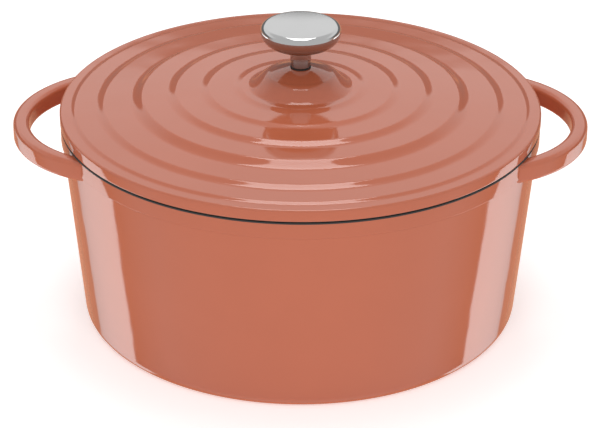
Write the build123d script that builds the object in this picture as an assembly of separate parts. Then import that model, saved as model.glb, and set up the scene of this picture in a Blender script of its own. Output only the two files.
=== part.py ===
"""Round cast iron dutch oven: pot with two cast loop handles, terraced lid, steel knob on a screw.

Millimetres. +Z is up, the handles lie along X, and the origin is the centre of the pot's flat base.
"""

import os
from math import acos, degrees

from build123d import *

# ---------------------------------------------------------------- pot
POT_HEIGHT = 129.6  # base to the flat land of the rim
POT_RADIUS = 135.8  # outside of the wall, carried down to the base plane
WALL_RISE = 0.093  # how far the wall leans out for each millimetre up
WALL = 3.9
BASE = 4.5
BASE_CORNER = 8.0  # outer radius between base and wall
INNER_CORNER = 10.0  # inner radius between base and wall
COLLAR_HEIGHT = 10.3  # thicker band below the rim
COLLAR_STEP = 0.8  # how far the band stands out from the wall
EDGE = 1.0  # rounding of the rim and of the band

# ---------------------------------------------------------------- loop handles
HANDLE_OUT = 29.6  # from the collar to the outside of each loop
HANDLE_WIDTH = 10.0  # bar, seen from above
HANDLE_HEIGHT = 12.4  # bar, seen from the side
HANDLE_ROUND = 3.0
HANDLE_ARCH = 75.0  # radius of the loop's outer edge, seen from above
HANDLE_DROP = 3.2  # underside of the bar below the collar

# ---------------------------------------------------------------- lid
LID_SIDE = 7.7  # height of the lid's upright outer side
LID_WALL = 4.0
LID_EDGE = 1.5  # rounding along the top and the foot of the lid's side
LID_OVERHANG = 0.3  # lid edge beyond the collar
LOCATE_GAP = 1.3  # locating ring inside the rim
LOCATE_DEPTH = 5.0
LOCATE_WIDTH = 4.2
LIP_WIDTH = 9.0  # from the outermost crest to the lid's edge
RING_FIRST = 36.5  # radius of the innermost crest
RING_PLACES = [0, 0.195, 0.39, 0.595, 0.825, 1.0]  # share of the way from the first crest to the last
RING_SLOPE_SHARE = 0.32  # part of each ring's width taken by the fall outside its crest
RING_FALLS = [0.8, 1.5, 2.4, 4.3, 2.2, 1.3]  # height lost outside each crest, from the middle out
BOSS_RISE = 11.8  # from the innermost crest up to the seat of the boss
BOSS_SEAT = 6.5  # radius of the flat on top of the boss
BOSS_SHOULDER = 19.0  # radius where the boss starts to fall away
BOSS_DROP = 3.3  # from the seat down to the shoulder
PAD_WIDTH = 2.5  # flat under the lid beyond the washer
PAD_RISE = 0.6  # the boss is thinner than the lid by this
SCREW_HOLE = 3.1

# ---------------------------------------------------------------- knob
CAP_RADIUS = 24.7
CAP_THICK = 13.6
CAP_DOME = 0.9  # rise of the top face from its edge to its centre
STEM_HEIGHT = 14.0
STEM_TOP_RADIUS = 7.1
STEM_FOOT_RADIUS = 5.9
GASKET = 0.8
GASKET_RADIUS = 6.3

# ---------------------------------------------------------------- screw under the lid
THREAD = 2.5  # screw radius
TAP_BITE = 0.2  # how far the screw's thread cuts into the post
SCREW_REACH = 11.0  # thread inside the post
HEAD_RADIUS = 4.75
HEAD_HEIGHT = 3.4
WASHER_RADIUS = 7.5
WASHER = 1.2
SPRING_RADIUS = 4.4
SPRING = 1.3
SPRING_SLOT = 1.0

collar_bottom = POT_HEIGHT - COLLAR_HEIGHT
handle_z = collar_bottom - HANDLE_DROP + HANDLE_HEIGHT / 2


def wall_radius(z):
    """Outside radius of the pot's leaning wall at height z."""
    return POT_RADIUS + WALL_RISE * z


collar_radius = wall_radius(collar_bottom) + COLLAR_STEP
rim_inner = wall_radius(collar_bottom) - WALL
handle_reach = collar_radius + HANDLE_OUT
lid_radius = collar_radius + LID_OVERHANG
locate_radius = rim_inner - LOCATE_GAP
ring_last = lid_radius - LIP_WIDTH
lid_lip = POT_HEIGHT + LID_SIDE
dome_top = lid_lip + sum(RING_FALLS)
boss_top = dome_top + BOSS_RISE
pad = boss_top - PAD_RISE - LID_WALL
stem_foot = boss_top + GASKET
cap_bottom = stem_foot + STEM_HEIGHT
cap_top = cap_bottom + CAP_THICK


def turned(face):
    """Solid of revolution about Z from a face drawn in (radius, height)."""
    return revolve(Plane.XZ * face, Axis.Z)


def rounded(points, radii):
    """Face from (radius, height) points, each corner rounded by the radius given for it, 0 for none."""
    face = make_face(Polyline(*points, close=True))
    for point, radius in zip(points, radii):
        if radius:
            corner = face.vertices().sort_by_distance((*point, 0))[0]
            face = fillet(corner, radius)
    return face


def make_handle(side):
    """One loop: a rounded bar turned along an arc in plan, both ends buried in the wall."""
    arch_centre = handle_reach - HANDLE_ARCH
    bar_radius = HANDLE_ARCH - HANDLE_WIDTH / 2
    buried = collar_radius - 0.65 * HANDLE_WIDTH
    spread = acos((buried**2 - arch_centre**2 - bar_radius**2) / (2 * arch_centre * bar_radius))
    section = Plane.XZ * Pos(bar_radius, handle_z) * RectangleRounded(
        HANDLE_WIDTH, HANDLE_HEIGHT, HANDLE_ROUND
    )
    loop = revolve(Rot(0, 0, -degrees(spread)) * section, Axis.Z, 2 * degrees(spread))
    loop = Pos(arch_centre, 0, 0) * loop
    return loop if side > 0 else Rot(0, 0, 180) * loop


def make_pot():
    """Base, leaning wall, collar and rim turned as one, both loops added, then the cavity cut out."""
    inner_base = POT_RADIUS - WALL + WALL_RISE * BASE
    outside = rounded(
        [
            (0, 0),
            (POT_RADIUS, 0),
            (wall_radius(collar_bottom), collar_bottom),
            (collar_radius, collar_bottom),
            (collar_radius, POT_HEIGHT),
            (0, POT_HEIGHT),
        ],
        [0, BASE_CORNER, 0, 0.7 * COLLAR_STEP, EDGE, 0],
    )
    cavity = rounded(
        [
            (0, BASE),
            (inner_base, BASE),
            (rim_inner, POT_HEIGHT),
            (rim_inner, POT_HEIGHT + HANDLE_HEIGHT),
            (0, POT_HEIGHT + HANDLE_HEIGHT),
        ],
        [0, INNER_CORNER, 0, 0, 0],
    )
    body = turned(outside)
    for side in (1, -1):
        body += make_handle(side)
    return body - turned(cavity)


def crests():
    """Radius, height, fall and slope width of each ring on the lid, from the middle out."""
    radii = [RING_FIRST + place * (ring_last - RING_FIRST) for place in RING_PLACES]
    height = dome_top
    for radius, outer, fall in zip(radii, radii[1:] + [lid_radius], RING_FALLS):
        yield radius, height, fall, RING_SLOPE_SHARE * (outer - radius)
        height -= fall


def lid_top():
    """Points along the lid's upper face as (radius, height), from its seat to its outermost ring.

    Each ring has a crest, a fall that is steepest at the crest and runs out level, and a flat
    terrace up to the next crest.
    """
    points = [
        (BOSS_SEAT, boss_top),
        (0.5 * (BOSS_SEAT + BOSS_SHOULDER), boss_top - 0.4 * BOSS_DROP),
        (BOSS_SHOULDER, boss_top - BOSS_DROP),
        (0.5 * (BOSS_SHOULDER + RING_FIRST) - 3.0, dome_top + 3.9),
        (RING_FIRST - 4.5, dome_top + 0.5),
    ]
    for crest, height, fall, width in crests():
        for step in (0, 0.25, 0.5, 0.75, 1.0):
            points.append((crest + step * width, height - fall * (1 - (1 - step) ** 2)))
        if crest < ring_last:
            points.append((crest + 0.7 * width / RING_SLOPE_SHARE, height - fall - 0.1))
    return points


def lid_under():
    """Points along the lid's underside, from the locating ring in to the pad round the screw."""
    ring_inner = locate_radius - LOCATE_WIDTH
    below = [(crest, height - 0.5 * fall - LID_WALL) for crest, height, fall, _ in crests()]
    return (
        [(ring_inner, lid_lip - LID_WALL - 0.6)]
        + [point for point in reversed(below) if point[0] < ring_inner - LIP_WIDTH]
        + [(BOSS_SHOULDER + 1.0, boss_top - BOSS_DROP - LID_WALL - 1.5), (WASHER_RADIUS + PAD_WIDTH, pad)]
    )


def make_lid():
    """Lid casting with its terraces on top, boss, outer edge, locating ring and screw hole."""
    top, under = lid_top(), lid_under()
    foot_radius, foot_height = top[-1]
    ring_inner, ring_foot = locate_radius - LOCATE_WIDTH, POT_HEIGHT - LOCATE_DEPTH
    side = [
        (foot_radius, foot_height),
        (lid_radius - LID_EDGE, foot_height + 0.1),
        (lid_radius, foot_height - LID_EDGE),
        (lid_radius, POT_HEIGHT + LID_EDGE),
        (lid_radius - LID_EDGE, POT_HEIGHT),
        (locate_radius, POT_HEIGHT),
        (locate_radius, ring_foot + EDGE),
        (locate_radius - EDGE, ring_foot),
        (ring_inner + EDGE, ring_foot),
        (ring_inner, ring_foot + EDGE),
        under[0],
    ]
    hole = [under[-1], (SCREW_HOLE, pad), (SCREW_HOLE, boss_top), top[0]]
    outline = [Spline(*top), Polyline(*side), Spline(*under), Polyline(*hole)]
    return turned(make_face(outline))


def make_cap():
    """Thick disc with a fully rounded rim and a slightly domed top."""
    rim = 0.5 * (CAP_THICK - CAP_DOME)
    flat = CAP_RADIUS - rim
    outline = [
        ThreePointArc((0, cap_top), (0.5 * flat, cap_top - 0.25 * CAP_DOME), (flat, cap_top - CAP_DOME)),
        ThreePointArc((flat, cap_top - CAP_DOME), (CAP_RADIUS, cap_bottom + rim), (flat, cap_bottom)),
        Polyline((flat, cap_bottom), (0, cap_bottom), (0, cap_top)),
    ]
    return turned(make_face(outline))


def make_stem():
    """Tapered post, widest under the disc, with a blind tapped hole from below."""
    depth = stem_foot + SCREW_REACH + 1.5
    bore = THREAD - TAP_BITE
    points = [
        (bore, stem_foot),
        (STEM_FOOT_RADIUS, stem_foot),
        (STEM_TOP_RADIUS, cap_bottom),
        (0, cap_bottom),
        (0, depth),
        (bore, depth),
    ]
    return turned(rounded(points, [0, 0.4, 0, 0, 0, 0]))


def make_ring(inner, outer, low, high):
    """Flat ring between two radii and two heights."""
    return Pos(0, 0, low) * extrude(Circle(outer) - Circle(inner), high - low)


def make_screw(head_top):
    """Pan head screw: shank up through the lid, rounded head below, crossed drive slots."""
    tip = stem_foot + SCREW_REACH
    points = [
        (0, head_top - HEAD_HEIGHT),
        (HEAD_RADIUS, head_top - HEAD_HEIGHT),
        (HEAD_RADIUS, head_top),
        (THREAD, head_top),
        (THREAD, tip - 0.8),
        (THREAD - 0.8, tip),
        (0, tip),
    ]
    screw = turned(rounded(points, [0, 2.0, 0, 0, 0, 0, 0]))
    slot = Pos(0, 0, head_top - HEAD_HEIGHT + 0.9) * Box(4.6, 1.1, 1.9)
    return screw - slot - Rot(0, 0, 90) * slot


washer_low = pad - WASHER
spring_low = washer_low - SPRING
spring_gap = Pos(SPRING_RADIUS, 0, spring_low + SPRING / 2) * Rot(25, 0, 0) * Box(
    2 * SPRING_RADIUS, SPRING_SLOT, 4 * SPRING
)

nodes = {
    "pot": make_pot(),
    "lid": make_lid(),
    "knob_cap": make_cap(),
    "knob_stem": make_stem(),
    "knob_gasket": make_ring(SCREW_HOLE, GASKET_RADIUS, boss_top, stem_foot),
    "knob_washer": make_ring(THREAD + 0.25, WASHER_RADIUS, washer_low, pad),
    "knob_spring_washer": make_ring(THREAD + 0.2, SPRING_RADIUS, spring_low, washer_low) - spring_gap,
    "knob_screw": make_screw(spring_low),
}

os.makedirs("parts", exist_ok=True)
for name, shape in nodes.items():
    export_step(shape, f"parts/{name}.step")
    print(name, round(shape.volume), shape.bounding_box().size)
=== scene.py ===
# %% [markdown]
# # A round enamelled dutch oven
#
# The object is two iron castings and a small steel knob. The pot is one casting with both loop
# handles on it. The lid is a second casting, and rings run round its dome like low terraces. Both
# are dipped in glass enamel, so they shine and reflect a room with slightly wavy edges.
#
# The castings are turned shapes, so each one starts as half of a section, drawn point by point and
# spun about the upright axis. All lengths are in metres.

# %% Load the frame
import math

import bpy
from mathutils import Matrix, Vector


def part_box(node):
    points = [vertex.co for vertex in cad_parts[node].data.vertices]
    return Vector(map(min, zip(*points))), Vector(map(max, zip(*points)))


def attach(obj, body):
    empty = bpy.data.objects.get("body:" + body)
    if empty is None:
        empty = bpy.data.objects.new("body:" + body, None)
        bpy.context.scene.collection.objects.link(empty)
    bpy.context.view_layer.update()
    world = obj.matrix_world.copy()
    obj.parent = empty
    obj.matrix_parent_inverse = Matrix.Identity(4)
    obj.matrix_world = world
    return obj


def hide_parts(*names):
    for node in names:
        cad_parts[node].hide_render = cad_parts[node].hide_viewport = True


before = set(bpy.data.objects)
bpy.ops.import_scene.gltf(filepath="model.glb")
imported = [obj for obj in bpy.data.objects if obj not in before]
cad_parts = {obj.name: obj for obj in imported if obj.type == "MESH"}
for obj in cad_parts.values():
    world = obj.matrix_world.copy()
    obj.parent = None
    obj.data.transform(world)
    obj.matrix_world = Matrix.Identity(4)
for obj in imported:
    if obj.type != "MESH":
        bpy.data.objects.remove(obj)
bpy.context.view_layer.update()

# %% [markdown]
# ## Sizes that the pieces share
#
# The frame says how wide and how high each node is. What a box can't say, such as a wall's thickness
# or how far apart the rings are, is written here once, under a maker's name for it.

# %% Measure the frame
pot_low, pot_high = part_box("pot")
lid_low, lid_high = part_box("lid")
cap_low, cap_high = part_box("knob_cap")
stem_low, stem_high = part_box("knob_stem")

rim_height = pot_high.z
collar_radius = pot_high.y
lid_radius = lid_high.y
boss_top = lid_high.z
locating_foot = lid_low.z
cap_radius = cap_high.x
handle_reach = pot_high.x
print("pot", round(collar_radius, 4), "lid", round(lid_radius, 4), "boss", round(boss_top, 4))

# %% Sizes of the pot
WALL = 0.0039
BASE = 0.0045
BASE_RADIUS = 0.1358
WALL_RISE = 0.093
BASE_CORNER = 0.0080
INNER_CORNER = 0.010
COLLAR_HEIGHT = 0.0103
RIM_ROUND = 0.0010
HANDLE_ARCH = 0.0750
HANDLE_WIDTH = 0.0100
HANDLE_HEIGHT = 0.0124
HANDLE_ROUND = 0.0030
HANDLE_DROP = 0.0032

collar_foot = rim_height - COLLAR_HEIGHT
handle_middle = collar_foot - HANDLE_DROP + HANDLE_HEIGHT / 2
rim_inner = BASE_RADIUS + WALL_RISE * collar_foot - WALL

# %% Sizes of the lid
LID_SIDE = 0.0077
LID_WALL = 0.0040
LIP_WIDTH = 0.0090
LOCATE_GAP = 0.0013
LOCATE_WIDTH = 0.0042
RING_FIRST = 0.0365
RING_PLACES = (0, 0.195, 0.39, 0.595, 0.825, 1.0)
RING_SLOPE_SHARE = 0.33
RING_LEAD = 0.0003
STEEP_SHARE = 0.68
RING_FALLS = (0.0008, 0.0015, 0.0024, 0.0043, 0.0022, 0.0013)
BOSS_SEAT = 0.0065
BOSS_SHOULDER = 0.0190
BOSS_DROP = 0.0033
LIP_ROUND = 0.0014
FOOT_ROUND = 0.0016
PAD_RISE = 0.0006
SCREW_HOLE = 0.0031
WASHER_RADIUS = 0.0075

lip_height = rim_height + LID_SIDE
dome_top = lip_height + sum(RING_FALLS)
ring_last = lid_radius - LIP_WIDTH
locate_radius = rim_inner - LOCATE_GAP

# %% [markdown]
# ## Drawing a section and spinning it
#
# A lathe shape needs half a section. One vertex is extruded from point to point, which draws the
# section as a person would with the pen, and Spin carries it once round the axis. Corners are given
# a radius here and not with a Bevel modifier, so that a long thin face never meets a bevel.

# %% Outline helpers
ROUND_STEPS = 7
SPIN_STEPS = 256


def arc(centre, radius, start, end, steps=ROUND_STEPS):
    """Points along an arc in the (radius, height) plane, angles in degrees from +radius."""
    turns = [math.radians(start + (end - start) * i / steps) for i in range(steps + 1)]
    return [(centre[0] + radius * math.cos(t), centre[1] + radius * math.sin(t)) for t in turns]


def rounded(corners, steps=ROUND_STEPS):
    """Outline through (radius, height, rounding) corners, with each rounding as a tangent arc."""
    points = []
    for i, (x, y, rounding) in enumerate(corners):
        if not rounding:
            points.append((x, y))
            continue
        before, after = corners[i - 1], corners[(i + 1) % len(corners)]
        into = math.atan2(y - before[1], x - before[0])
        out = math.atan2(after[1] - y, after[0] - x)
        turn = math.remainder(out - into, math.tau)
        reach = rounding * math.tan(abs(turn) / 2)
        side = math.copysign(1, turn)
        centre = (
            x - reach * math.cos(into) - side * rounding * math.sin(into),
            y - reach * math.sin(into) + side * rounding * math.cos(into),
        )
        start = math.degrees(into) - side * 90
        points += arc(centre, rounding, start, start + math.degrees(turn), steps)
    return points


# %% Mesh helpers
def deselect():
    """Nothing selected, in object mode."""
    if bpy.context.object and bpy.context.object.mode != "OBJECT":
        bpy.ops.object.mode_set(mode="OBJECT")
    bpy.ops.object.select_all(action="DESELECT")


def draw_section(name, points):
    """One vertex extruded along (radius, height) points, left in edit mode with all selected."""
    deselect()
    bpy.ops.mesh.primitive_plane_add(size=0.01)
    piece = bpy.context.object
    piece.name = name
    bpy.ops.object.mode_set(mode="EDIT")
    bpy.ops.mesh.select_all(action="SELECT")
    bpy.ops.mesh.merge(type="CENTER")
    bpy.ops.transform.translate(value=(points[0][0], 0, points[0][1]))
    for (x, z), (next_x, next_z) in zip(points, points[1:]):
        bpy.ops.mesh.extrude_vertices_move(TRANSFORM_OT_translate={"value": (next_x - x, 0, next_z - z)})
    bpy.ops.mesh.select_all(action="SELECT")
    return piece


def close_up(piece, smooth_angle=40):
    """Merges doubles, turns faces outwards and shades smooth up to the given angle."""
    bpy.ops.mesh.select_all(action="SELECT")
    bpy.ops.mesh.remove_doubles(threshold=1e-6)
    bpy.ops.mesh.normals_make_consistent(inside=False)
    bpy.ops.object.mode_set(mode="OBJECT")
    bpy.ops.object.shade_smooth_by_angle(angle=math.radians(smooth_angle))
    print(piece.name, len(piece.data.vertices), "vertices")
    return piece


def turned(name, points, steps=SPIN_STEPS):
    """A solid of revolution about the upright axis."""
    piece = draw_section(name, points)
    bpy.ops.mesh.spin(steps=steps, angle=math.tau, center=(0, 0, 0), axis=(0, 0, 1))
    return close_up(piece)


def apply_modifier(piece, kind, **settings):
    """Adds one modifier with its settings and applies it."""
    deselect()
    piece.select_set(True)
    bpy.context.view_layer.objects.active = piece
    bpy.ops.object.modifier_add(type=kind)
    modifier = piece.modifiers[-1]
    for key, value in settings.items():
        setattr(modifier, key, value)
    bpy.ops.object.modifier_apply(modifier=modifier.name)


# %% [markdown]
# ## The pot
#
# The outside is turned as a full block first. The handles are added while it is still solid, and the
# cavity is cut last, so whatever the handles bury in the wall is cut away with it. That is also how
# the sand mould works: the outside and its handles are one half, and the cavity is the core.


# %% Block, loops and core
def pot_block():
    """Outside of the pot as a solid: base, leaning wall, collar and the outer edge of the rim."""
    wall_top = BASE_RADIUS + WALL_RISE * collar_foot
    return turned(
        "pot_casting",
        [(0, 0)]
        + rounded(
            [
                (0.05, 0, 0),
                (BASE_RADIUS, 0, BASE_CORNER),
                (wall_top, collar_foot, 0),
                (collar_radius, collar_foot, 0.0005),
                (collar_radius, rim_height, RIM_ROUND),
                (0.12, rim_height, 0),
            ]
        )
        + [(0, rim_height)],
    )


def handle_loops():
    """Both loops: half of one bar is spun, closed at its buried end and mirrored twice."""
    arch_centre = handle_reach - HANDLE_ARCH
    bar = HANDLE_ARCH - HANDLE_WIDTH / 2
    buried = collar_radius - 0.65 * HANDLE_WIDTH
    spread = math.acos((buried**2 - arch_centre**2 - bar**2) / (2 * arch_centre * bar))
    x, z = handle_reach, handle_middle
    w, h = HANDLE_WIDTH, HANDLE_HEIGHT / 2
    section = rounded(
        [
            (x - w, z - h, HANDLE_ROUND),
            (x, z - h, HANDLE_ROUND),
            (x, z + h, HANDLE_ROUND),
            (x - w, z + h, HANDLE_ROUND),
        ]
    )
    loops = draw_section("handle_loops", section + section[:1])
    bpy.ops.mesh.remove_doubles(threshold=1e-6)
    bpy.ops.mesh.spin(steps=56, angle=spread, center=(arch_centre, 0, 0), axis=(0, 0, 1))
    bpy.ops.mesh.edge_face_add()
    close_up(loops)
    apply_modifier(loops, "MIRROR", use_axis=(True, True, False), merge_threshold=1e-5)
    return loops


def pot_core():
    """The cavity as a solid, standing up past the rim, with the rim's inner edge rounded over."""
    inner_base = BASE_RADIUS - WALL + WALL_RISE * BASE
    over = 0.010
    return turned(
        "pot_core",
        [(0, BASE)]
        + rounded(
            [
                (0.05, BASE, 0),
                (inner_base, BASE, INNER_CORNER),
                (rim_inner, rim_height, RIM_ROUND),
                (rim_inner + 2 * RIM_ROUND, rim_height, 0),
                (rim_inner + 2 * RIM_ROUND, rim_height + over, 0),
            ]
        )
        + [(0, rim_height + over)],
    )


# %% Cast the pot
def join(piece, tool, operation):
    """Exact boolean of piece with tool, which is then removed."""
    apply_modifier(piece, "BOOLEAN", object=tool, operation=operation, solver="EXACT")
    bpy.data.objects.remove(tool)


pot = pot_block()
join(pot, handle_loops(), "UNION")
join(pot, pot_core(), "DIFFERENCE")
deselect()
pot.select_set(True)
bpy.context.view_layer.objects.active = pot
bpy.ops.object.mode_set(mode="EDIT")
close_up(pot, 30)
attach(pot, "pot")
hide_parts("pot")

# %% [markdown]
# ## The lid
#
# The dome is a set of terraces. Each ring has a crest, a fall outside it and a terrace that leans
# outwards a little on its way to the next crest. The fall follows a squared sine, quick below the
# crest and slow at its foot, which is what a casting pattern leaves once its corners have been rubbed
# down. A formula gives a smoother run of reflections than a Subdivision Surface over a few points.


# %% Section of the lid
def ring_fall(radius):
    """How far the dome has fallen at a radius, all rings together."""
    crests = [RING_FIRST + place * (ring_last - RING_FIRST) for place in RING_PLACES]
    fallen = 0
    for crest, outer, fall in zip(crests, crests[1:] + [lid_radius], RING_FALLS):
        width = RING_SLOPE_SHARE * (outer - crest)
        share = min(max((radius - crest + RING_LEAD) / width, 0), 1)
        along = min(max((radius - crest) / (outer - crest), 0), 1)
        steep = math.sin(math.pi / 2 * share**0.7) ** 2
        fallen += fall * (STEEP_SHARE * steep + (1 - STEEP_SHARE) * along)
    return fallen


def lid_top():
    """Upper face of the lid, from the screw hole out to its lip."""
    points = [(SCREW_HOLE, boss_top), (BOSS_SEAT, boss_top)]
    shoulder = boss_top - BOSS_DROP
    steps = 14
    for i in range(1, steps):
        share = i / steps
        radius = BOSS_SEAT + (BOSS_SHOULDER - BOSS_SEAT) * share
        points.append((radius, boss_top + (shoulder - boss_top) * share**1.35))
    flank = RING_FIRST - 0.0045
    for i in range(steps + 1):
        share = i / steps
        ease = math.cos(math.pi / 2 * share**0.9) ** 1.35
        radius = BOSS_SHOULDER + (flank - BOSS_SHOULDER) * share
        points.append((radius, dome_top + (shoulder - dome_top) * ease))
    radius = flank
    while radius < lid_radius - 0.0028:
        radius += 0.0006
        points.append((radius, dome_top - ring_fall(radius)))
    return points


def lid_section():
    """The whole section of the lid, top face first, then its side, locating ring and underside."""
    top = lid_top()
    lip = top[-1][1]
    ring_inner = locate_radius - LOCATE_WIDTH
    pad = boss_top - PAD_RISE - LID_WALL
    outside = rounded(
        [
            (lid_radius - 0.006, lip, 0),
            (lid_radius, lip, LIP_ROUND),
            (lid_radius, rim_height, FOOT_ROUND),
            (locate_radius, rim_height, 0),
            (locate_radius, locating_foot, RIM_ROUND),
            (ring_inner, locating_foot, RIM_ROUND),
            (ring_inner, lip - LID_WALL - 0.0006, RIM_ROUND),
            (ring_inner - 0.004, lip - LID_WALL + 0.0002, 0),
        ]
    )[1:]
    under = []
    radius = ring_inner - 0.006
    while radius > BOSS_SHOULDER + 0.006:
        share = (radius - RING_FIRST) / (ring_inner - RING_FIRST)
        fall = 0.0125 * max(share, 0) ** 1.25
        under.append((radius, dome_top - LID_WALL - fall))
        radius -= 0.002
    start = under[-1]
    steps = 12
    hollow = [
        (
            start[0] + (WASHER_RADIUS + 0.0025 - start[0]) * i / steps,
            start[1] + (pad - start[1]) * math.sin(math.pi / 2 * (i / steps)) ** 2,
        )
        for i in range(1, steps + 1)
    ]
    return top + outside + under + hollow + [(SCREW_HOLE, pad), (SCREW_HOLE, boss_top)]


lid = turned("lid_casting", lid_section())
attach(lid, "lid")
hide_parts("lid")

# %% [markdown]
# ## The knob
#
# The knob is a thick polished disc on a post that narrows towards its foot. Its top is almost flat
# and turns over a close rounding into a fuller one below, which mirrors the lid. It needs many points
# round its rim, because a mirror finish shows every facet.


# %% Disc and post
DISC_DOME = 0.0003
DISC_ROUND = 0.0036
POST_FOOT = 0.0059
POST_NECK = 0.0071
TAP_RADIUS = 0.0023


def knob_disc():
    """Disc with an almost flat top, a close upper rounding and a fuller one below."""
    full = cap_high.z - DISC_DOME - DISC_ROUND - cap_low.z
    flat = cap_radius - DISC_ROUND
    face = [(flat * i / 16, cap_high.z - DISC_DOME * (i / 16) ** 2) for i in range(16)]
    upper = arc((flat, cap_high.z - DISC_DOME - DISC_ROUND), DISC_ROUND, 90, 0, 18)
    lower = [
        (cap_radius - full * (1 - math.cos(t)), cap_low.z + full * (1 - math.sin(t)))
        for t in [math.pi / 2 * i / 22 for i in range(1, 23)]
    ]
    return turned("knob_disc", face + upper + lower + [(0, cap_low.z)])


def knob_post():
    """Tapered post with a rounded foot, wider under the disc, and a blind hole from below."""
    foot, neck = stem_low.z, stem_high.z
    outline = rounded(
        [
            (TAP_RADIUS, foot, 0),
            (POST_FOOT, foot, 0.0004),
            (POST_NECK, neck, 0),
            (0, neck, 0),
        ]
    )
    bore = [(0, neck - 0.002), (TAP_RADIUS, neck - 0.003), (TAP_RADIUS, foot)]
    return turned("knob_post", outline + bore, 128)


disc = knob_disc()
post = knob_post()
for piece, node, slot in ((disc, "knob_cap", "knob_steel"), (post, "knob_stem", "stem_steel")):
    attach(piece, "lid")
    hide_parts(node)

# %% [markdown]
# ## Enamel
#
# Enamel is coloured glass fired on to the iron. It has three things that paint lacks: a long slow
# waviness from the casting under it, a fine orange peel from the firing, and a faint cloudiness in
# its colour. All three are needed on more than one material, so they are one node group.


# %% Enamel group
def node_at(tree, kind, x, y):
    """A new node at a tidy place."""
    node = tree.nodes.new(kind)
    node.location = (x, y)
    return node


def enamel_surface():
    """Group: clouded colour, gloss and height of a fired enamel, from the piece's own coordinates."""
    group = bpy.data.node_groups.new("enamel_surface", "ShaderNodeTree")
    sockets = group.interface
    for name, kind in (
        ("Deep", "NodeSocketColor"),
        ("Pale", "NodeSocketColor"),
        ("Gloss Low", "NodeSocketFloat"),
        ("Gloss High", "NodeSocketFloat"),
        ("Waviness", "NodeSocketFloat"),
        ("Peel", "NodeSocketFloat"),
    ):
        sockets.new_socket(name, in_out="INPUT", socket_type=kind)
    for name, kind in (
        ("Color", "NodeSocketColor"),
        ("Roughness", "NodeSocketFloat"),
        ("Height", "NodeSocketFloat"),
    ):
        sockets.new_socket(name, in_out="OUTPUT", socket_type=kind)
    given = node_at(group, "NodeGroupInput", -900, 0)
    made = node_at(group, "NodeGroupOutput", 700, 0)
    place = node_at(group, "ShaderNodeTexCoord", -900, -400)

    def noise(scale, detail, y):
        texture = node_at(group, "ShaderNodeTexNoise", -600, y)
        texture.inputs["Scale"].default_value = scale
        texture.inputs["Detail"].default_value = detail
        group.links.new(place.outputs["Object"], texture.inputs["Vector"])
        return texture.outputs["Fac"]

    def times(a, b, y, operation="MULTIPLY"):
        maths = node_at(group, "ShaderNodeMath", -200, y)
        maths.operation = operation
        group.links.new(a, maths.inputs[0])
        if isinstance(b, float):
            maths.inputs[1].default_value = b
        else:
            group.links.new(b, maths.inputs[1])
        return maths.outputs[0]

    cloud = noise(22, 3, 300)
    mix = node_at(group, "ShaderNodeMix", 100, 300)
    mix.data_type = "RGBA"
    group.links.new(cloud, mix.inputs["Factor"])
    group.links.new(given.outputs["Deep"], mix.inputs[6])
    group.links.new(given.outputs["Pale"], mix.inputs[7])
    group.links.new(mix.outputs[2], made.inputs["Color"])

    gloss = node_at(group, "ShaderNodeMapRange", 100, 0)
    group.links.new(noise(60, 4, 0), gloss.inputs["Value"])
    group.links.new(given.outputs["Gloss Low"], gloss.inputs["To Min"])
    group.links.new(given.outputs["Gloss High"], gloss.inputs["To Max"])
    group.links.new(gloss.outputs[0], made.inputs["Roughness"])

    wave = times(noise(28, 1, -300), given.outputs["Waviness"], -300)
    peel = times(noise(330, 1, -600), given.outputs["Peel"], -600)
    group.links.new(times(wave, peel, -450, "ADD"), made.inputs["Height"])
    return group


ENAMEL = enamel_surface()
print("group", ENAMEL.name, len(ENAMEL.nodes), "nodes")

# %% [markdown]
# ## The terracotta coat
#
# The shader is a Principled BSDF. A coat layer would give the glass on top of a coloured base, but
# enamel is one layer of coloured glass, so the base's own specular does the same work with one less
# thing to bake.


# %% Enamel materials
def principled(name):
    """An empty material with its shader, ready for links."""
    material = bpy.data.materials.new(name)
    material.use_nodes = True
    shader = material.node_tree.nodes["Principled BSDF"]
    return material, material.node_tree, shader


def enamel(name, deep, pale, gloss, waviness, peel):
    """One fired coat: the group drives colour, gloss and bump."""
    material, tree, shader = principled(name)
    surface = node_at(tree, "ShaderNodeGroup", -500, 0)
    surface.node_tree = ENAMEL
    for socket, value in (
        ("Deep", (*deep, 1)),
        ("Pale", (*pale, 1)),
        ("Gloss Low", gloss[0]),
        ("Gloss High", gloss[1]),
        ("Waviness", waviness),
        ("Peel", peel),
    ):
        surface.inputs[socket].default_value = value
    bump = node_at(tree, "ShaderNodeBump", -250, -250)
    bump.inputs["Distance"].default_value = 1.0
    tree.links.new(surface.outputs["Color"], shader.inputs["Base Color"])
    tree.links.new(surface.outputs["Roughness"], shader.inputs["Roughness"])
    tree.links.new(surface.outputs["Height"], bump.inputs["Height"])
    tree.links.new(bump.outputs["Normal"], shader.inputs["Normal"])
    return material


terracotta = enamel(
    "terracotta_enamel", (0.48, 0.122, 0.058), (0.52, 0.134, 0.066), (0.05, 0.10), 0.00030, 0.000006
)
inner_coat = enamel(
    "inner_enamel", (0.018, 0.016, 0.015), (0.028, 0.025, 0.023), (0.30, 0.42), 0.00020, 0.000012
)

# %% [markdown]
# ## Steel and rubber
#
# Polished steel is a metal with little of its own to show, so its detail is the turning marks left
# by the lathe: rings about the axis, far too fine to see one by one, that stretch a highlight.


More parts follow.
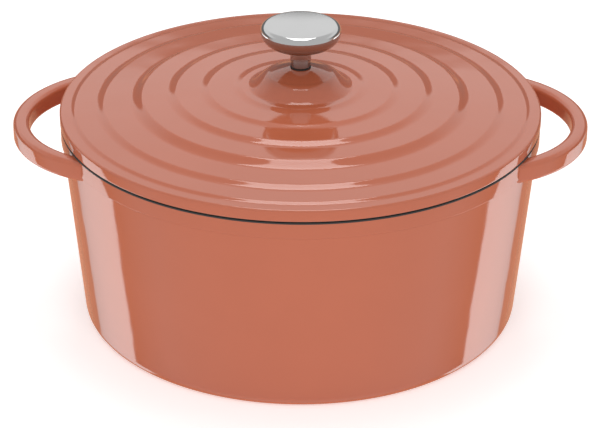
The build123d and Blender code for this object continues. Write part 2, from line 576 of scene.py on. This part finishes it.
# %% Steel and rubber materials
def steel(name, tone, roughness, marks):
    """Turned steel: fine rings about the upright axis in the bump, and a faint smear in the gloss and
    tone.
    """
    material, tree, shader = principled(name)
    place = node_at(tree, "ShaderNodeTexCoord", -1100, 0)
    rings = node_at(tree, "ShaderNodeTexWave", -800, 0)
    rings.wave_type = "RINGS"
    rings.rings_direction = "Z"
    rings.inputs["Scale"].default_value = 900
    rings.inputs["Distortion"].default_value = 1.5
    rings.inputs["Detail"].default_value = 2
    tree.links.new(place.outputs["Object"], rings.inputs["Vector"])
    smear = node_at(tree, "ShaderNodeTexNoise", -800, -300)
    smear.inputs["Scale"].default_value = 90
    tree.links.new(place.outputs["Object"], smear.inputs["Vector"])
    gloss = node_at(tree, "ShaderNodeMapRange", -500, -300)
    gloss.inputs["To Min"].default_value = roughness * 0.8
    gloss.inputs["To Max"].default_value = roughness * 1.3
    tree.links.new(smear.outputs["Fac"], gloss.inputs["Value"])
    tree.links.new(gloss.outputs[0], shader.inputs["Roughness"])
    bump = node_at(tree, "ShaderNodeBump", -500, 0)
    bump.inputs["Distance"].default_value = marks
    tree.links.new(rings.outputs["Fac"], bump.inputs["Height"])
    tree.links.new(bump.outputs["Normal"], shader.inputs["Normal"])
    shade = node_at(tree, "ShaderNodeMapRange", -500, 300)
    shade.data_type = "FLOAT_VECTOR"
    shade.inputs[9].default_value = [c * 0.94 for c in tone]
    shade.inputs[10].default_value = tone
    for axis in range(3):
        shade.inputs[7].default_value[axis], shade.inputs[8].default_value[axis] = 0, 1
    tree.links.new(smear.outputs["Fac"], shade.inputs[6])
    tree.links.new(shade.outputs[1], shader.inputs["Base Color"])
    shader.inputs["Metallic"].default_value = 1
    return material


def rubber(name):
    """Matt black seal with a fine grain."""
    material, tree, shader = principled(name)
    place = node_at(tree, "ShaderNodeTexCoord", -900, 0)
    grain = node_at(tree, "ShaderNodeTexNoise", -700, 0)
    grain.inputs["Scale"].default_value = 900
    tree.links.new(place.outputs["Object"], grain.inputs["Vector"])
    tone = node_at(tree, "ShaderNodeValToRGB", -450, 100)
    tone.color_ramp.elements[0].color = (0.012, 0.011, 0.010, 1)
    tone.color_ramp.elements[1].color = (0.030, 0.028, 0.026, 1)
    tree.links.new(grain.outputs["Fac"], tone.inputs["Fac"])
    tree.links.new(tone.outputs["Color"], shader.inputs["Base Color"])
    shader.inputs["Roughness"].default_value = 0.7
    return material


polished = steel("polished_steel", (0.44, 0.44, 0.44), 0.07, 0.0000015)
satin = steel("satin_steel", (0.62, 0.62, 0.61), 0.28, 0.000004)
seal = rubber("seal_rubber")

# %% [markdown]
# ## Putting the finishes on
#
# Both castings have two coats. Terracotta covers the outside, and a dark satin coat covers the inside
# and the rounded edges where the two castings meet. The faces are picked by their place.


# %% Dress the pieces
def paint(piece, *materials):
    """Replaces the piece's materials."""
    piece.data.materials.clear()
    for material in materials:
        piece.data.materials.append(material)


def coat_inside(piece, is_inside):
    """Gives the second material to the faces whose centre and normal pass the test."""
    count = 0
    for face in piece.data.polygons:
        if is_inside(face.center, face.normal):
            face.material_index = 1
            count += 1
    print(piece.name, count, "faces in the dark coat")


def in_cavity(centre, normal):
    """True for the pot's cavity and its rim with the rounding on both edges."""
    radius = math.hypot(centre.x, centre.y)
    inner = BASE_RADIUS - WALL + WALL_RISE * centre.z
    on_land = centre.z > rim_height - RIM_ROUND
    return on_land or (radius < inner + 0.001 and centre.z > BASE - 0.0002)


def under_lid(centre, normal):
    """True for the lid's underside and the rounding at the foot of its side."""
    radius = math.hypot(centre.x, centre.y)
    on_foot = radius < lid_radius - 0.0009 or centre.z < rim_height + 0.0008
    return normal.z < 0.3 and on_foot and centre.z < boss_top - 0.003


paint(pot, terracotta, inner_coat)
coat_inside(pot, in_cavity)
paint(lid, terracotta, inner_coat)
coat_inside(lid, under_lid)
paint(disc, polished)
paint(post, polished)
for node in ("knob_washer", "knob_spring_washer", "knob_screw"):
    paint(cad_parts[node], satin)
paint(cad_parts["knob_gasket"], seal)

# %% [markdown]
# ## The studio
#
# A glossy pot shows its studio. A soft box hangs over it and makes the bright bands on the front of
# the rings. Two pale cards stand low at the left and right, and the upright wall shows them as tall
# bands. The floor is pale and plain and stays out of the reflections. The world is bright in front,
# and behind it is dark near the horizon and bright above, which draws the rings at the back.


# %% Floor and backdrop
def studio_floor():
    """A large pale floor that fades into the backdrop's white."""
    deselect()
    bpy.ops.mesh.primitive_plane_add(size=14, location=(0, 0, 0))
    floor = bpy.context.object
    floor.name = "floor"
    material, tree, shader = principled("floor_paint")
    shader.inputs["Base Color"].default_value = (0.93, 0.93, 0.93, 1)
    shader.inputs["Roughness"].default_value = 0.8
    shader.inputs["Specular IOR Level"].default_value = 0.1
    shader.inputs["Emission Color"].default_value = (1, 1, 1, 1)
    shader.inputs["Emission Strength"].default_value = 0.45
    paint(floor, material)
    floor.visible_glossy = False
    return floor


def studio_world():
    """Bright in front; behind, warm below the horizon, dim just over it and bright above."""
    world = bpy.data.worlds.new("studio")
    bpy.context.scene.world = world
    world.use_nodes = True
    tree = world.node_tree
    background = tree.nodes["Background"]
    place = node_at(tree, "ShaderNodeTexCoord", -900, 0)
    split = node_at(tree, "ShaderNodeSeparateXYZ", -700, 0)
    height = node_at(tree, "ShaderNodeMapRange", -600, -200)
    height.inputs["From Min"].default_value = -1
    tree.links.new(place.outputs["Generated"], split.inputs[0])
    tree.links.new(split.outputs["Z"], height.inputs["Value"])

    def sky(stops, y):
        """Colour by height from a few (sine of elevation, colour) stops."""
        ramp = node_at(tree, "ShaderNodeValToRGB", -450, y)
        tree.links.new(height.outputs[0], ramp.inputs["Fac"])
        elements = ramp.color_ramp.elements
        for element, (sine, colour) in zip(elements, (stops[0], stops[-1])):
            element.position, element.color = (sine + 1) / 2, (*colour, 1)
        for sine, colour in stops[1:-1]:
            elements.new((sine + 1) / 2).color = (*colour, 1)
        return ramp.outputs["Color"]

    def grey(level):
        return (level, level, level)

    front = sky([(-1, grey(1.0)), (1, grey(0.95))], 0)
    warm = (0.78, 0.38, 0.24)
    back = sky(
        [(-1, warm), (-0.05, warm), (0.02, grey(0.25)), (0.31, grey(0.28))]
        + [(0.35, grey(1.3)), (0.58, grey(1.3)), (0.70, grey(1.0)), (1, grey(0.95))],
        -250,
    )
    side = node_at(tree, "ShaderNodeMapRange", -450, 500)
    side.inputs["From Min"].default_value, side.inputs["From Max"].default_value = -0.15, 0.25
    tree.links.new(split.outputs["Y"], side.inputs["Value"])
    both = node_at(tree, "ShaderNodeMix", -200, 0)
    both.data_type = "RGBA"
    tree.links.new(side.outputs[0], both.inputs["Factor"])
    tree.links.new(front, both.inputs[6])
    tree.links.new(back, both.inputs[7])
    rays = node_at(tree, "ShaderNodeLightPath", -450, 300)
    level = node_at(tree, "ShaderNodeMapRange", -200, 300)
    level.inputs["To Min"].default_value = 0.42
    tree.links.new(rays.outputs["Is Glossy Ray"], level.inputs["Value"])
    tree.links.new(level.outputs[0], background.inputs["Strength"])
    tree.links.new(both.outputs[2], background.inputs["Color"])


studio_floor()
studio_world()


# %% Lamps and cards
def soft_box(name, place, aim, size, power, glossy=True):
    """A rectangular area lamp at a place, turned towards a point."""
    deselect()
    bpy.ops.object.light_add(type="AREA", location=place)
    lamp = bpy.context.object
    lamp.name = name
    lamp.data.shape = "RECTANGLE"
    lamp.data.size, lamp.data.size_y = size
    lamp.data.energy = power
    towards = [a - p for a, p in zip(aim, place)]
    flat = math.hypot(towards[0], towards[1])
    bearing = math.atan2(towards[1], towards[0])
    lamp.rotation_euler = (math.atan2(flat, -towards[2]), 0, bearing - math.pi / 2)
    lamp.visible_camera = False
    lamp.visible_glossy = glossy
    return lamp


def card(name, bearing, width, low, high, distance, near, far):
    """A glowing card seen only in reflections, brightest along the edge nearer the front."""
    deselect()
    bpy.ops.mesh.primitive_plane_add(size=1)
    board = bpy.context.object
    board.name = name
    board.data.transform(Matrix.Diagonal((width, high - low, 1, 1)))
    board.data.transform(Matrix.Rotation(math.pi / 2, 4, "X"))
    board.data.transform(Matrix.Translation((0, distance, (low + high) / 2)))
    board.data.transform(Matrix.Rotation(-math.radians(bearing), 4, "Z"))
    material = bpy.data.materials.new(name)
    material.use_nodes = True
    tree = material.node_tree
    tree.nodes.clear()
    output = node_at(tree, "ShaderNodeOutputMaterial", 300, 0)
    glow = node_at(tree, "ShaderNodeEmission", 100, 0)
    place = node_at(tree, "ShaderNodeTexCoord", -700, 0)
    split = node_at(tree, "ShaderNodeSeparateXYZ", -500, 0)
    fade = node_at(tree, "ShaderNodeMapRange", -200, 0)
    tree.links.new(place.outputs["Object"], split.inputs[0])
    tree.links.new(split.outputs["Y"], fade.inputs["Value"])
    ys = [v.co.y for v in board.data.vertices]
    fade.inputs["From Min"].default_value, fade.inputs["From Max"].default_value = min(ys), max(ys)
    fade.inputs["To Min"].default_value, fade.inputs["To Max"].default_value = near, far
    tree.links.new(fade.outputs[0], glow.inputs["Strength"])
    tree.links.new(glow.outputs[0], output.inputs["Surface"])
    paint(board, material)
    board.visible_camera = False
    board.visible_diffuse = False
    board.visible_shadow = False
    return board


middle = (0, 0, 0.08)
soft_box("overhead_box", (0.0, 0.27, 1.25), middle, (0.45, 0.84), 5.6)
soft_box("front_fill", (0.0, -2.2, 1.9), middle, (2.4, 1.4), 26, glossy=False)
for side in (-1, 1):
    card(f"card_{'left' if side < 0 else 'right'}", side * 58, 1.6, -3.2, -0.2, 2.5, 3.4, 1.0)

# %% [markdown]
# ## The camera
#
# A long lens, looking down at about 27 degrees. It looks straight along +Y with almost no roll, so
# both handles show the same.

# %% Camera
LENS = 150
CAMERA_BACK = 1.4061
CAMERA_UP = 0.7717
CAMERA_PITCH = 26.82
CAMERA_ROLL = 0.25

camera_data = bpy.data.cameras.new("camera")
camera_data.lens = LENS
camera = bpy.data.objects.new("camera", camera_data)
bpy.context.scene.collection.objects.link(camera)
tilt = Matrix.Rotation(math.radians(90 - CAMERA_PITCH), 4, "X")
roll = Matrix.Rotation(math.radians(CAMERA_ROLL), 4, "Z")
camera.matrix_world = Matrix.Translation((0, -CAMERA_BACK, CAMERA_UP)) @ tilt @ roll
bpy.context.scene.camera = camera
bpy.context.scene.view_settings.view_transform = "Standard"
